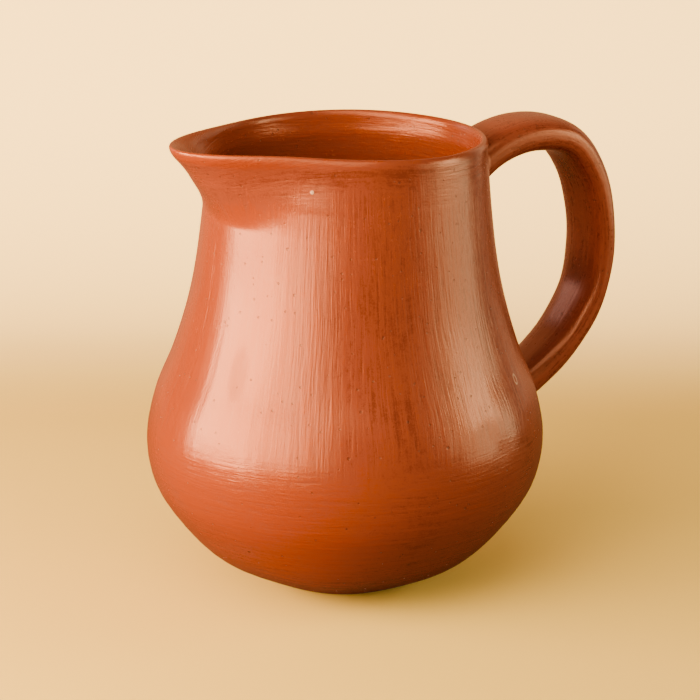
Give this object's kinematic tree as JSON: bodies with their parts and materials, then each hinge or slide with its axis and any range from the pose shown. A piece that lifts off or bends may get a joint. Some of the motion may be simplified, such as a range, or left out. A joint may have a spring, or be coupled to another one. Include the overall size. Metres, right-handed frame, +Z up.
{
  "type": "ceramic pitcher",
  "caption": "Round-bellied hand-built jug of burnished red clay, with a pulled pouring spout opposite an arched strap handle.",
  "frame": {"origin": "centre of the flat resting face under the bowl", "axes": "+Z up; +X from the body's axis towards the handle, so the spout points along -X"},
  "size_m": [0.2075, 0.1614, 0.1902],
  "materials": {
    "bowl_clay": "satin",
    "wall_clay": "satin",
    "rim_clay": "satin",
    "strap_clay": "satin",
    "luting_clay": "satin"
  },
  "bodies": {
    "root": {"lower_bowl": "bowl_clay", "upper_wall": "wall_clay", "rim_band": "rim_clay", "handle_strap": "strap_clay", "upper_handle_luting": "luting_clay", "lower_handle_luting": "luting_clay"}
  },
  "joints": []
}
